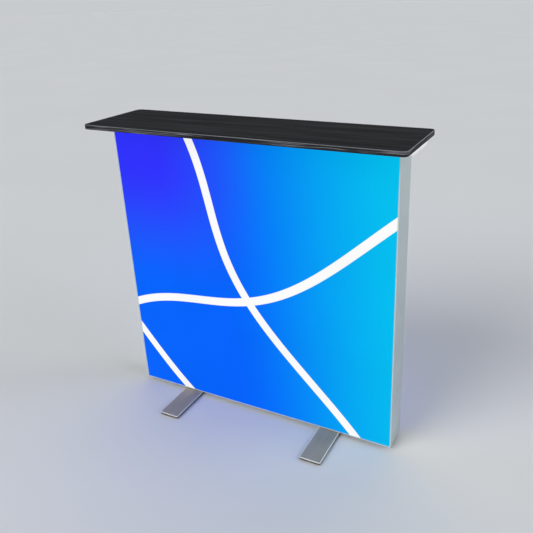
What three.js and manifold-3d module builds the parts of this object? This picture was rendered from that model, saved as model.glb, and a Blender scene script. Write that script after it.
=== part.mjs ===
// Exhibition counter: a double-sided fabric light box with a laminated top, on two flat feet that swivel.
// Millimetres, +Z up, the front graphic faces -Y, the origin on the floor under the middle of the frame.

import * as THREE from "three";
import { mergeVertices } from "three/addons/utils/BufferGeometryUtils.js";
import Module from "manifold-3d";

// Clearance between fitted pieces, and how far a cutting tool runs past the piece it cuts
const clearance = 0.3;
const overrun = 5;

// Light box frame
const frameWidth = 1000;
const frameHeight = 1000;
const frameDepth = 100;

// Extruded section of the frame: height is from its outer face inwards
const sectionHeight = 24;
const sectionWall = 2;
const rimWidth = 3.7;
const rimChamfer = 0.6;
const grooveWidth = 3.4;
const grooveDepth = 13;
const innerLip = 2;
const innerLipSetback = 1.1;
const trackWidth = 24;
const slotWidth = 8.4;

// Corner angles and their grub screws
const angleLeg = 45;
const angleThickness = 6;
const grubRadius = 3;
const grubSetback = 11;

// Stretch fabric and its sewn silicone bead
const fabricThickness = 0.8;
const beadHeight = 11;

// Lighting bars: a rail in the track's slot and a strip of lenses on it
const railWidth = 30;
const railThickness = 4;
const stripWidth = 18;
const stripThickness = 1.6;
const barEndGap = 30;
const lensPitch = 46;
const lensRadius = 6.5;
const lensHeight = 5;
const lensSeat = 0.4;

// Snap-in mains inlet with a rocker switch, low on the left side
const inletHeightUp = 110;
const inletBodyWidth = 27.4;
const inletBodyHeight = 47.4;
const inletBodyDepth = 26;
const inletFlangeMargin = 2.2;
const inletFlangeThickness = 2.5;
const inletFlangeRadius = 3;
const inletSnapDepth = 6;
const inletSnapReach = 1.5;
const socketWidth = 24;
const socketHeight = 16.4;
const socketChamfer = 5;
const socketDepth = 16.5;
const socketDrop = 12.6;
const pinWidth = 2;
const pinHeight = 4;
const pinSpacing = 14;
const pinLength = 11;
const pinTab = 8;
const pinStagger = 4;
const rockerLength = 19;
const rockerWidth = 13.8;
const rockerRise = 12.6;
const rockerCrown = 2.2;
const rockerTilt = 8;
const rockerKeel = 3.2;
const rockerTrunnionRadius = 1.5;
const rockerTrunnionLength = 1.4;
const rockerWellDepth = 9;
const rockerPivotDepth = 1;

// Power supply on the bottom section
const driverLength = 200;
const driverWidth = 42;
const driverHeight = 30;
const driverRibHeight = 2;
const driverRibWidth = 2;
const driverRibCount = 7;
const driverEarLength = 12;
const driverEarThickness = 4;
const driverEndGap = 170;
const driverGlandRadius = 5;
const driverGlandLength = 8;
const driverGlandHeight = 11;

// Leads, and the saddles that hold them down on the bottom section
const mainsLeadRadius = 3.5;
const ledLeadRadius = 2;
const ledLeadOffset = 28;
const leadRun = 20;
const leadBend = 14;
const clipWall = 1.6;
const clipFlange = 6;
const clipLength = 10;
const rightClipShare = 0.2;

// Carriers of the top
const carrierLength = 175;
const carrierDepth = 160;
const carrierOverhang = 38;
const carrierPlate = 4;
const carrierWall = 4;
const carrierDrop = 9;
const carrierRadius = 14;

// Top: board, laminate sheet and edge band
const topWidth = 1085;
const topDepth = 285;
const topThickness = 15;
const topRadius = 17;
const laminateThickness = 0.8;
const bandThickness = 1.2;
const bandChamfer = 0.8;

// Bolts that hold the top, and their inserts in the board
const boardBoltRadius = 3;
const boardBoltSetback = 75;
const boardBoltSpacing = 40;
const boardBoltReach = 10;
const boardBoltHeadRadius = 8;
const boardBoltHeadHeight = 5;
const boardBoltHexRadius = 5.5;
const insertRadius = 5;
const insertDepth = 12;

// Feet
const footWidth = 75;
const footLength = 420;
const footThickness = 8;
const footRadius = 5;
const footChamfer = 1.5;
const footSpacing = 560;
const footPadHeight = 3;
const footPadWidth = 60;
const footPadLength = 24;
const footPadRadius = 6;
const footPadSetback = 10;

// Pivot of each foot
const pivotRadius = 4;
const pivotHeadRadius = 8;
const pivotHeadHeight = 4;
const pivotRunout = 3;
const washerRadius = 22;
const washerThickness = 1.4;
const clampPlateLength = 60;
const clampPlateThickness = 7;

// Facets of round shapes
const boltSides = 16;
const holeSides = 24;
const washerSides = 40;
const cornerSteps = 8;
const smallCornerSteps = 4;
const leadSides = 8;
const lensSides = 10;
const leadStepShare = 6;
const cornerShare = 0.45;

// Heights and places worked out from the sizes above
const footTopZ = footPadHeight + footThickness;
const frameBottomZ = footTopZ + washerThickness + 2 * clearance;
const frameCentreZ = frameBottomZ + frameHeight / 2;
const frameTopZ = frameBottomZ + frameHeight;
const topUndersideZ = frameTopZ + carrierPlate;
const chamberInner = sectionHeight - sectionWall;
const barBottomZ = inletHeightUp + inletBodyHeight / 2 + barEndGap;
const barLength = frameTopZ - sectionHeight - barEndGap - barBottomZ;
const carrierEndX = frameWidth / 2 + carrierOverhang;
const boardBoltXs = [0, 1].map((k) => frameWidth / 2 - boardBoltSetback - k * boardBoltSpacing);

const silver = { color: 0xb4bcbf, roughness: 0.42, metalness: 0.9 };
const steel = { color: 0x8e9296, roughness: 0.35, metalness: 1 };
const brass = { color: 0xc2a04c, roughness: 0.3, metalness: 1 };
const print = { color: 0x0a6cff, roughness: 0.7, metalness: 0, emissive: 0x0560f0 };
const silicone = { color: 0xdfe3e4, roughness: 0.6, metalness: 0 };
const blackPlastic = { color: 0x16171a, roughness: 0.5, metalness: 0 };
const whitePlastic = { color: 0xe9ebec, roughness: 0.45, metalness: 0 };
const charcoalLaminate = { color: 0x1d1f23, roughness: 0.4, metalness: 0 };
const boardCore = { color: 0x9a7d5a, roughness: 0.85, metalness: 0 };
const blackRubber = { color: 0x111214, roughness: 0.9, metalness: 0 };

const wasm = await Module();
wasm.setup();

function toSolid(geometry) {
  const bare = geometry.clone();
  bare.deleteAttribute("normal");
  bare.deleteAttribute("uv");
  const merged = mergeVertices(bare);
  const vertProperties = merged.attributes.position.array;
  const triVerts = new Uint32Array(merged.index.array);
  return new wasm.Manifold(new wasm.Mesh({ numProp: 3, vertProperties, triVerts }));
}

function toGeometry(solid) {
  const mesh = solid.getMesh();
  const geometry = new THREE.BufferGeometry();
  geometry.setAttribute("position", new THREE.BufferAttribute(mesh.vertProperties, 3));
  geometry.setIndex(new THREE.BufferAttribute(mesh.triVerts, 1));
  return geometry;
}

function cut(geometry, ...tools) {
  let solid = toSolid(geometry);
  for (const tool of tools) solid = solid.subtract(toSolid(tool));
  return toGeometry(solid);
}

function fuse(geometry, ...others) {
  let solid = toSolid(geometry);
  for (const other of others) solid = solid.add(toSolid(other));
  return toGeometry(solid);
}

function part(name, geometry, look) {
  const mesh = new THREE.Mesh(geometry, new THREE.MeshStandardMaterial(look));
  mesh.name = name;
  return mesh;
}

function group(...children) {
  const made = new THREE.Group();
  made.add(...children);
  return made;
}

// A box given by its lowest and highest corners
function block([x0, y0, z0], [x1, y1, z1]) {
  const geometry = new THREE.BoxGeometry(x1 - x0, y1 - y0, z1 - z0);
  return geometry.translate((x0 + x1) / 2, (y0 + y1) / 2, (z0 + z1) / 2);
}

// A solid of revolution about Z from [radius, height] points that run up the outside and close on the axis
function turned(points, sides) {
  const profile = points.map(([radius, height]) => new THREE.Vector2(radius, height));
  return new THREE.LatheGeometry(profile, sides).rotateX(Math.PI / 2);
}

function rod(radius, low, high, sides) {
  return turned([[0, low], [radius, low], [radius, high], [0, high]], sides);
}

// An outline of [x, y] points drawn in the XY plane and extruded up Z
function prism(points, height, holes = []) {
  const shape = new THREE.Shape(points.map(([x, y]) => new THREE.Vector2(x, y)));
  for (const hole of holes) {
    shape.holes.push(new THREE.Path(hole.map(([x, y]) => new THREE.Vector2(x, y))));
  }
  return new THREE.ExtrudeGeometry(shape, { depth: height, bevelEnabled: false });
}

function rectangle(x0, y0, x1, y1) {
  return [[x0, y0], [x1, y0], [x1, y1], [x0, y1]];
}

function roundedRectangle(width, depth, radius, steps) {
  const points = [];
  const centres = [[1, 1], [-1, 1], [-1, -1], [1, -1]];
  centres.forEach(([sx, sy], corner) => {
    for (let k = 0; k <= steps; k += 1) {
      const angle = (Math.PI / 2) * (corner + k / steps);
      const x = sx * (width / 2 - radius) + radius * Math.cos(angle);
      const y = sy * (depth / 2 - radius) + radius * Math.sin(angle);
      points.push([x, y]);
    }
  });
  return points;
}

// Joins outlines of equally many points, each at its height, and closes both ends with flat caps
function loft(layers) {
  const count = layers[0].outline.length;
  const positions = layers.flatMap(({ outline, z }) => outline.flatMap(([x, y]) => [x, y, z]));
  const index = [];
  for (let layer = 0; layer + 1 < layers.length; layer += 1) {
    for (let k = 0; k < count; k += 1) {
      const a = layer * count + k;
      const b = layer * count + ((k + 1) % count);
      index.push(a, b, b + count, a, b + count, a + count);
    }
  }
  const flat = layers[0].outline.map(([x, y]) => new THREE.Vector2(x, y));
  const caps = THREE.ShapeUtils.triangulateShape(flat, []);
  const last = (layers.length - 1) * count;
  for (const [a, b, c] of caps) {
    index.push(a, c, b);
    index.push(last + a, last + b, last + c);
  }
  return indexed(positions, index);
}

// Sweeps a closed section, given as outlines with their heights, round a ring
function band(section) {
  const count = section[0].outline.length;
  const positions = section.flatMap(({ outline, z }) => outline.flatMap(([x, y]) => [x, y, z]));
  const index = [];
  for (let layer = 0; layer < section.length; layer += 1) {
    const next = (layer + 1) % section.length;
    for (let k = 0; k < count; k += 1) {
      const a = layer * count + k;
      const b = layer * count + ((k + 1) % count);
      const c = next * count + ((k + 1) % count);
      const d = next * count + k;
      index.push(a, b, c, a, c, d);
    }
  }
  return indexed(positions, index);
}

function indexed(positions, index) {
  const geometry = new THREE.BufferGeometry();
  geometry.setAttribute("position", new THREE.Float32BufferAttribute(positions, 3));
  geometry.setIndex(index);
  return geometry;
}

// Straight runs between the given points, each corner rounded off from the given distance to it
function route(points, bend) {
  const corners = points.map(([x, y, z]) => new THREE.Vector3(x, y, z));
  const path = new THREE.CurvePath();
  let from = corners[0];
  for (let k = 1; k + 1 < corners.length; k += 1) {
    const before = corners[k - 1].clone().sub(corners[k]);
    const after = corners[k + 1].clone().sub(corners[k]);
    const reach = Math.min(bend, before.length() * cornerShare, after.length() * cornerShare);
    const entry = before.setLength(reach).add(corners[k]);
    const exit = after.setLength(reach).add(corners[k]);
    path.add(new THREE.LineCurve3(from, entry));
    path.add(new THREE.QuadraticBezierCurve3(entry, corners[k], exit));
    from = exit;
  }
  path.add(new THREE.LineCurve3(from, corners[corners.length - 1]));
  return path;
}

// A round lead along a path
function lead(path, radius) {
  const section = new THREE.Shape();
  section.moveTo(radius, 0);
  for (let k = 1; k < leadSides; k += 1) {
    const angle = (2 * Math.PI * k) / leadSides;
    section.lineTo(radius * Math.cos(angle), radius * Math.sin(angle));
  }
  const steps = Math.ceil(path.getLength() / (leadStepShare * radius));
  return new THREE.ExtrudeGeometry(section, { steps, extrudePath: path, bevelEnabled: false });
}

// Half of the extruded section's outline: x runs inwards from the outer face, y through the depth.
// A fabric groove opens at the face, and the middle chamber is a track with a slot on the inside.
function halfSection() {
  const half = frameDepth / 2;
  const web = half - grooveDepth;
  const groove = rimWidth + grooveWidth;
  return [
    [0, half - rimChamfer],
    [rimChamfer, half],
    [rimWidth, half],
    [rimWidth, web],
    [groove, web],
    [groove, half - innerLipSetback],
    [groove + innerLip, half - innerLipSetback],
    [groove + innerLip, web],
    [sectionHeight, web],
    [sectionHeight, slotWidth / 2],
    [chamberInner, slotWidth / 2],
    [chamberInner, trackWidth / 2],
    [sectionWall, trackWidth / 2],
  ];
}

function mirrored(points) {
  return points.map(([x, y]) => [x, -y]).reverse();
}

// One side of the frame along Z, its ends cut at 45 degrees
function profile(length) {
  const half = halfSection();
  const web = frameDepth / 2 - grooveDepth;
  const sideChamber = rectangle(sectionWall, trackWidth / 2 + sectionWall, chamberInner, web - sectionWall);
  const geometry = prism([...mirrored(half), ...half], length, [sideChamber, mirrored(sideChamber)]);
  const position = geometry.attributes.position;
  for (let k = 0; k < position.count; k += 1) {
    const end = position.getZ(k) > length / 2 ? 1 : -1;
    const mitre = position.getX(k) + clearance / Math.SQRT2;
    position.setZ(k, end * (length / 2 - mitre));
  }
  return geometry;
}

// Round holes through the outer wall of a section, at the given places along it
function wallHoles(radius, places) {
  const long = sectionWall + overrun;
  return places.map((place) => {
    const hole = rod(radius, -long, long, holeSides);
    return hole.rotateY(Math.PI / 2).translate(0, 0, place);
  });
}

// The cut-out of the mains inlet, right through the section
function inletCutout() {
  const y = inletBodyWidth / 2 + clearance;
  const z = inletBodyHeight / 2 + clearance;
  const middle = inletHeightUp - frameCentreZ;
  return block([-overrun, -y, middle - z], [sectionHeight + overrun, y, middle + z]);
}

// Strips of silicone in the grooves: the upright ones run full height, the others between them
function bead(length, upright) {
  const near = rimWidth + clearance;
  const far = rimWidth + grooveWidth - clearance;
  const out = frameDepth / 2 - fabricThickness - clearance;
  const end = length / 2 - (upright ? near : far + clearance);
  return block([near, out - beadHeight, -end], [far, out, end]);
}

// An angle that fills the track across a mitred corner, held by a grub screw in each leg
function cornerAngle() {
  const inner = chamberInner - clearance;
  const outer = inner - angleThickness;
  const tip = outer + angleLeg;
  const outline = [[outer, outer], [tip, outer], [tip, inner], [inner, inner], [inner, tip], [outer, tip]];
  const width = trackWidth - 2 * clearance;
  const angle = prism(outline, width).translate(0, 0, -width / 2).rotateX(Math.PI / 2);
  const wall = sectionWall + clearance;
  const place = tip - grubSetback;
  const upright = rod(grubRadius, wall, inner, boltSides).translate(place, 0, 0);
  const flat = rod(grubRadius, wall, inner, boltSides).rotateY(Math.PI / 2).translate(0, 0, place);
  return fuse(angle, upright, flat);
}

// Section of a lighting rail, with a tongue that seats in the slot of the track
function ledRail() {
  const seat = sectionHeight + clearance;
  const tongue = slotWidth / 2 - clearance;
  const outline = [
    [chamberInner + clearance, -tongue],
    [seat, -tongue],
    [seat, -railWidth / 2],
    [seat + railThickness, -railWidth / 2],
    [seat + railThickness, railWidth / 2],
    [seat, railWidth / 2],
    [seat, tongue],
    [chamberInner + clearance, tongue],
  ];
  return prism(outline, barLength);
}

// A strip of lenses that lies on the rail and throws its light across the box
function ledStrip() {
  const low = sectionHeight + railThickness + 2 * clearance;
  const high = low + stripThickness;
  const strip = block([low, -stripWidth / 2, 0], [high, stripWidth / 2, barLength]);
  const dome = [[0, -lensSeat], [lensRadius, -lensSeat], [lensRadius, lensHeight / 3]];
  dome.push([(lensRadius * 2) / 3, (lensHeight * 5) / 6], [lensRadius / 4, lensHeight], [0, lensHeight]);
  const count = Math.floor(barLength / lensPitch);
  const margin = (barLength - (count - 1) * lensPitch) / 2;
  const lenses = [];
  for (let k = 0; k < count; k += 1) {
    const lens = turned(dome, lensSides).rotateY(Math.PI / 2);
    lenses.push(lens.translate(high, 0, margin + k * lensPitch));
  }
  return fuse(strip, ...lenses);
}

const socketCentre = -socketDrop;
const rockerCentre = rockerRise;

// Outline of the mains socket in the inlet's face: x across, y up, its two upper corners cut off
function socketOutline() {
  const x = socketWidth / 2;
  const y = socketHeight / 2;
  const c = socketChamfer;
  return [[-x, -y], [x, -y], [x, y - c], [x - c, y], [c - x, y], [-x, y - c]];
}

// Turns a shape drawn as x across, y up, z outwards into the inlet's own frame, whose x runs inwards
function faceOutwards(geometry) {
  return geometry.rotateX(Math.PI / 2).rotateZ(-Math.PI / 2);
}

function inletPinPlaces() {
  const rise = pinStagger / 2;
  return [
    ["left", -pinSpacing / 2, socketCentre - rise],
    ["right", pinSpacing / 2, socketCentre - rise],
    ["earth", 0, socketCentre + rise],
  ];
}

// The inlet's shell: flange, body, socket, rocker well with bearing holes, pin slots and snap lugs
function inletHousing() {
  const width = inletBodyWidth + 2 * inletFlangeMargin;
  const height = inletBodyHeight + 2 * inletFlangeMargin;
  const plate = roundedRectangle(width, height, inletFlangeRadius, smallCornerSteps);
  const flange = faceOutwards(prism(plate, inletFlangeThickness)).translate(-clearance, 0, 0);
  const y = inletBodyWidth / 2;
  const z = inletBodyHeight / 2;
  const body = block([-clearance - inletFlangeThickness / 2, -y, -z], [inletBodyDepth, y, z]);
  const lug = [[sectionWall + clearance, 0], [sectionWall + clearance, y + inletSnapReach]];
  lug.push([sectionWall + inletSnapDepth, y], [sectionWall + inletSnapDepth, 0]);
  const lugHeight = socketHeight / 2;
  const nearLug = prism(lug, lugHeight).translate(0, 0, -lugHeight / 2);
  const farLug = prism(mirrored(lug), lugHeight).translate(0, 0, -lugHeight / 2);
  const face = -clearance - inletFlangeThickness;
  const socket = faceOutwards(prism(socketOutline(), socketDepth + overrun));
  socket.translate(face + socketDepth, 0, socketCentre);
  const wellY = rockerWidth / 2 + clearance;
  const wellZ = rockerLength / 2 + 2 * clearance;
  const wellFloor = face + rockerWellDepth;
  const wellLow = [face - overrun, -wellY, rockerCentre - wellZ];
  const well = block(wellLow, [wellFloor, wellY, rockerCentre + wellZ]);
  const bearing = rockerWidth / 2 + clearance + rockerTrunnionLength + clearance;
  const axle = rod(rockerTrunnionRadius + clearance, -bearing, bearing, holeSides);
  axle.rotateX(Math.PI / 2).translate(face + rockerPivotDepth + rockerCrown, 0, rockerCentre);
  const slots = inletPinPlaces().map(([, py, pz]) => {
    const halfWidth = pinWidth / 2 + clearance;
    const halfHeight = pinHeight / 2 + clearance;
    const low = [0, py - halfWidth, pz - halfHeight];
    return block(low, [inletBodyDepth + overrun, py + halfWidth, pz + halfHeight]);
  });
  return cut(fuse(body, flange, nearLug, farLug), socket, well, axle, ...slots);
}

function inletPin(py, pz) {
  const back = -clearance - inletFlangeThickness + socketDepth;
  const low = [back - pinLength, py - pinWidth / 2, pz - pinHeight / 2];
  return block(low, [inletBodyDepth + pinTab, py + pinWidth / 2, pz + pinHeight / 2]);
}

// The rocker about its own pivot, tilted so that its upper half lies flush: x inwards, z up
function inletRocker() {
  const reach = rockerLength / 2;
  const rise = reach * Math.tan(THREE.MathUtils.degToRad(rockerTilt));
  const edge = [];
  for (let k = 0; k <= smallCornerSteps; k += 1) {
    const up = -rockerKeel / 2 + ((rockerCrown + rise + rockerKeel / 2) * k) / smallCornerSteps;
    edge.push([Math.sqrt(reach * reach - up * up), up]);
  }
  const outline = [[0, -rockerKeel], ...edge, [0, rockerCrown]];
  outline.push(...edge.map(([x, y]) => [-x, y]).reverse());
  const body = prism(outline, rockerWidth).translate(0, 0, -rockerWidth / 2);
  const bearing = rockerWidth / 2 + clearance + rockerTrunnionLength;
  const rocker = fuse(body, rod(rockerTrunnionRadius, -bearing, bearing, boltSides));
  const tilt = THREE.MathUtils.degToRad(rockerTilt);
  return rocker.rotateZ(-tilt).rotateY(-Math.PI / 2).rotateZ(Math.PI / 2);
}

// The power supply's case with cooling ribs, end ears and a gland at each end, along X from its middle
function ledDriver() {
  const halfWidth = driverWidth / 2;
  const shoulder = driverHeight - driverRibHeight;
  const outline = [[-halfWidth, 0], [halfWidth, 0]];
  const pitch = (driverWidth - driverRibWidth) / (driverRibCount - 1);
  for (let k = 0; k < driverRibCount; k += 1) {
    const right = halfWidth - k * pitch;
    const left = right - driverRibWidth;
    if (k > 0) outline.push([right, shoulder]);
    outline.push([right, driverHeight], [left, driverHeight]);
    if (k < driverRibCount - 1) outline.push([left, shoulder]);
  }
  const shell = prism(outline, driverLength).translate(0, 0, -driverLength / 2);
  shell.rotateX(Math.PI / 2).rotateZ(Math.PI / 2);
  const end = driverLength / 2;
  const earEnd = end + driverEarLength;
  const ears = block([-earEnd, -halfWidth / 2, 0], [earEnd, halfWidth / 2, driverEarThickness]);
  const glandEnd = end + driverGlandLength;
  const gland = rod(driverGlandRadius, -glandEnd, glandEnd, boltSides);
  return fuse(shell, ears, gland.rotateY(Math.PI / 2).translate(0, 0, driverGlandHeight));
}

const driverCentreX = driverEndGap + driverLength / 2 - frameWidth / 2;
const rightClipX = rightClipShare * frameWidth;
const trackFloorZ = frameBottomZ + sectionHeight + clearance;
const driverGlandZ = trackFloorZ + driverGlandHeight;
const driverLeftX = driverCentreX - driverLength / 2 - driverGlandLength - clearance;
const driverRightX = driverCentreX + driverLength / 2 + driverGlandLength + clearance;
const leftClipX = driverLeftX - 3 * leadRun - clipLength / 2;
const stripMiddleX = frameWidth / 2 - sectionHeight - railThickness - 2 * clearance - stripThickness / 2;

// From the inlet's tabs down to the bottom section and along it to the supply
function mainsLead() {
  const z = trackFloorZ + mainsLeadRadius;
  const startX = -frameWidth / 2 + inletBodyDepth + pinTab + clearance;
  const startZ = inletHeightUp + socketCentre;
  const points = [
    [startX, 0, startZ],
    [startX + leadRun, 0, startZ],
    [startX + leadRun, 0, z],
    [driverLeftX - 2 * leadRun, 0, z],
    [driverLeftX - leadRun, 0, driverGlandZ],
    [driverLeftX, 0, driverGlandZ],
  ];
  return lead(route(points, leadBend), mainsLeadRadius);
}

// From the supply along the bottom section to the right-hand strip
function rightLedLead() {
  const z = trackFloorZ + ledLeadRadius;
  const points = [
    [driverRightX, 0, driverGlandZ],
    [driverRightX + leadRun, 0, driverGlandZ],
    [driverRightX + 2 * leadRun, 0, z],
    [stripMiddleX, 0, z],
    [stripMiddleX, 0, barBottomZ - clearance],
  ];
  return lead(route(points, leadBend), ledLeadRadius);
}

// From the supply's right end back past it to the left-hand strip
function leftLedLead() {
  const z = trackFloorZ + ledLeadRadius;
  const beside = 2 * ledLeadRadius + clearance;
  const points = [
    [driverRightX, beside, driverGlandZ],
    [driverRightX + leadRun, beside, driverGlandZ],
    [driverRightX + leadRun, ledLeadOffset, z],
    [-stripMiddleX, ledLeadOffset, z],
    [-stripMiddleX, ledLeadOffset, barBottomZ - 2 * leadRun],
    [-stripMiddleX, 0, barBottomZ - leadRun],
    [-stripMiddleX, 0, barBottomZ - clearance],
  ];
  return lead(route(points, leadBend), ledLeadRadius);
}

// A saddle glued over the leads; reach is how far it stretches across the section
function leadClip(leadRadius, reach) {
  const inside = leadRadius + clearance;
  const outside = inside + clipWall;
  const flange = outside + clipFlange;
  const roof = 2 * leadRadius + 2 * clearance;
  const outline = [
    [-flange, 0],
    [-inside, 0],
    [-inside, roof],
    [reach + inside, roof],
    [reach + inside, 0],
    [reach + outside, 0],
    [reach + outside, roof + clipWall],
    [-outside, roof + clipWall],
    [-outside, clipWall],
    [-flange, clipWall],
  ];
  const saddle = prism(outline, clipLength).translate(0, 0, -clipLength / 2);
  return saddle.rotateX(Math.PI / 2).rotateZ(Math.PI / 2);
}

// A shallow tray turned upside down over the end of the frame, open towards the middle
function carrier() {
  const height = carrierPlate + carrierDrop - clearance;
  const long = carrierLength + 2 * carrierRadius;
  const plan = roundedRectangle(long, carrierDepth, carrierRadius, cornerSteps);
  const tray = prism(plan, height).translate(carrierEndX - long / 2, 0, -carrierDrop);
  const innerDepth = carrierDepth - 2 * carrierWall;
  const room = roundedRectangle(long, innerDepth, carrierRadius - carrierWall, cornerSteps);
  const hollow = prism(room, carrierDrop + clearance + overrun);
  hollow.translate(carrierEndX - carrierWall - long / 2, 0, -carrierDrop - overrun);
  const inner = carrierEndX - carrierLength;
  const trimLow = [inner - long, -carrierDepth, -carrierDrop - overrun];
  const trim = block(trimLow, [inner, carrierDepth, height + overrun]);
  const holes = boardBoltXs.map((x) => {
    return rod(boardBoltRadius + clearance, -overrun, carrierPlate + overrun, holeSides).translate(x, 0, 0);
  });
  return cut(tray, hollow, trim, ...holes);
}

// Head, flange and shank of a bolt that reaches from the track's inner face into the board
function boardBolt() {
  const seat = -sectionHeight - clearance;
  const head = seat - boardBoltHeadHeight;
  const flange = seat - sectionWall / 2;
  const tip = carrierPlate + boardBoltReach;
  const points = [
    [0, head],
    [boardBoltHexRadius, head],
    [boardBoltHexRadius, flange],
    [boardBoltHeadRadius, flange],
    [boardBoltHeadRadius, seat],
    [boardBoltRadius, seat],
    [boardBoltRadius, tip],
    [0, tip],
  ];
  return turned(points, boltSides);
}

function boardInsert() {
  const inner = boardBoltRadius + clearance;
  const low = clearance;
  const high = insertDepth - clearance;
  const points = [[inner, low], [insertRadius, low], [insertRadius, high], [inner, high], [inner, low]];
  return turned(points, boltSides);
}

function topOutline(inset) {
  return roundedRectangle(topWidth - 2 * inset, topDepth - 2 * inset, topRadius - inset, cornerSteps);
}

// The board under its laminate, with blind holes for the inserts
function topBoard() {
  const outline = topOutline(bandThickness);
  const high = topThickness - laminateThickness;
  const board = loft([{ outline, z: 0 }, { outline, z: high }]);
  const holes = [-1, 1].flatMap((side) => {
    return boardBoltXs.map((x) => {
      return rod(insertRadius + clearance, -overrun, insertDepth, holeSides).translate(side * x, 0, 0);
    });
  });
  return cut(board, ...holes);
}

function topLaminate() {
  const outline = topOutline(bandThickness);
  return loft([{ outline, z: topThickness - laminateThickness }, { outline, z: topThickness }]);
}

function topEdgeBand() {
  return band([
    { outline: topOutline(0), z: 0 },
    { outline: topOutline(0), z: topThickness - bandChamfer },
    { outline: topOutline(bandChamfer), z: topThickness },
    { outline: topOutline(bandThickness), z: topThickness },
    { outline: topOutline(bandThickness), z: 0 },
  ]);
}

function footOutline(inset) {
  const width = footWidth - 2 * inset;
  return roundedRectangle(width, footLength - 2 * inset, footRadius - inset, smallCornerSteps);
}

// A flat foot with a bright chamfer round its upper edge and a countersunk hole for the pivot
function foot() {
  const plate = loft([
    { outline: footOutline(0), z: 0 },
    { outline: footOutline(0), z: footThickness - footChamfer },
    { outline: footOutline(footChamfer), z: footThickness },
  ]);
  const bore = pivotRadius + clearance;
  const mouth = pivotHeadRadius + clearance;
  const hole = turned([
    [0, -overrun],
    [mouth, -overrun],
    [mouth, clearance],
    [bore, clearance + pivotHeadHeight],
    [bore, footThickness + overrun],
    [0, footThickness + overrun],
  ], holeSides);
  return cut(plate, hole);
}

function footPad() {
  const outline = roundedRectangle(footPadWidth, footPadLength, footPadRadius, smallCornerSteps);
  return prism(outline, footPadHeight - clearance);
}

// Countersunk bolt from under the foot up into the clamp plate in the track
function pivotBolt() {
  const seat = clearance;
  const tip = frameBottomZ - footPadHeight + sectionWall + clampPlateThickness + pivotRunout;
  return turned([
    [0, seat],
    [pivotHeadRadius, seat],
    [pivotRadius, seat + pivotHeadHeight],
    [pivotRadius, tip],
    [0, tip],
  ], boltSides);
}

function thrustWasher() {
  const inner = pivotRadius + clearance;
  const high = washerThickness;
  const ring = [[inner, 0], [washerRadius, 0], [washerRadius, high], [inner, high], [inner, 0]];
  return turned(ring, washerSides);
}

function clampPlate() {
  const y = trackWidth / 2 - clearance;
  const x = clampPlateLength / 2;
  const plate = block([-x, -y, 0], [x, y, clampPlateThickness]);
  const bore = rod(pivotRadius + clearance, -overrun, clampPlateThickness + overrun, holeSides);
  return cut(plate, bore);
}

// Everything that lies along one side of the frame, in the frame of that side's section
function frameSide(name, length, turn) {
  const upright = name === "left" || name === "right";
  const toolsOf = {
    left: [inletCutout()],
    bottom: wallHoles(pivotRadius + clearance, [-footSpacing / 2, footSpacing / 2]),
    top: wallHoles(boardBoltRadius + clearance, [-1, 1].flatMap((s) => boardBoltXs.map((x) => s * x))),
    right: [],
  };
  const side = group(part(`profile_${name}`, cut(profile(length), ...toolsOf[name]), silver));
  side.add(part(`front_bead_${name}`, bead(length, upright).rotateX(Math.PI), silicone));
  side.add(part(`rear_bead_${name}`, bead(length, upright), silicone));
  side.rotation.y = turn;
  side.position.set((-Math.cos(turn) * frameWidth) / 2, 0, frameCentreZ + (Math.sin(turn) * frameHeight) / 2);
  return side;
}

function makeFrame() {
  const quarter = Math.PI / 2;
  return group(
    frameSide("left", frameHeight, 0),
    frameSide("top", frameWidth, quarter),
    frameSide("right", frameHeight, 2 * quarter),
    frameSide("bottom", frameWidth, -quarter),
  );
}

// The angle is drawn for the lower left corner and turned about Y for the others
function makeCornerAngles() {
  const corners = [
    ["bottom_left", -1, -1, 0],
    ["top_left", -1, 1, 1],
    ["top_right", 1, 1, 2],
    ["bottom_right", 1, -1, 3],
  ];
  return corners.map(([name, sx, sz, quarters]) => {
    const angle = part(`corner_angle_${name}`, cornerAngle(), steel);
    angle.rotation.y = (quarters * Math.PI) / 2;
    angle.position.set((sx * frameWidth) / 2, 0, frameCentreZ + (sz * frameHeight) / 2);
    return angle;
  });
}

function makeFabrics() {
  const x = frameWidth / 2 - rimWidth - clearance;
  const z = frameHeight / 2 - rimWidth - clearance;
  const y = frameDepth / 2;
  const front = part("front_graphic", block([-x, -y, -z], [x, fabricThickness - y, z]), print);
  const rear = part("rear_graphic", block([-x, y - fabricThickness, -z], [x, y, z]), print);
  const pair = group(front, rear);
  pair.position.z = frameCentreZ;
  return pair;
}

function makeLighting() {
  return [-1, 1].map((side) => {
    const name = side < 0 ? "left" : "right";
    const bar = group(
      part(`led_rail_${name}`, ledRail(), silver),
      part(`led_strip_${name}`, ledStrip(), whitePlastic),
    );
    bar.rotation.z = side < 0 ? 0 : Math.PI;
    bar.position.set((side * frameWidth) / 2, 0, barBottomZ);
    return bar;
  });
}

function makeInlet() {
  const pins = inletPinPlaces().map(([name, py, pz]) => part(`inlet_pin_${name}`, inletPin(py, pz), brass));
  const rocker = part("inlet_rocker", inletRocker(), blackPlastic);
  const face = -clearance - inletFlangeThickness;
  rocker.position.set(face + rockerPivotDepth + rockerCrown, 0, rockerCentre);
  const inlet = group(part("inlet_housing", inletHousing(), blackPlastic), ...pins, rocker);
  inlet.position.set(-frameWidth / 2, 0, inletHeightUp);
  return inlet;
}

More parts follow.
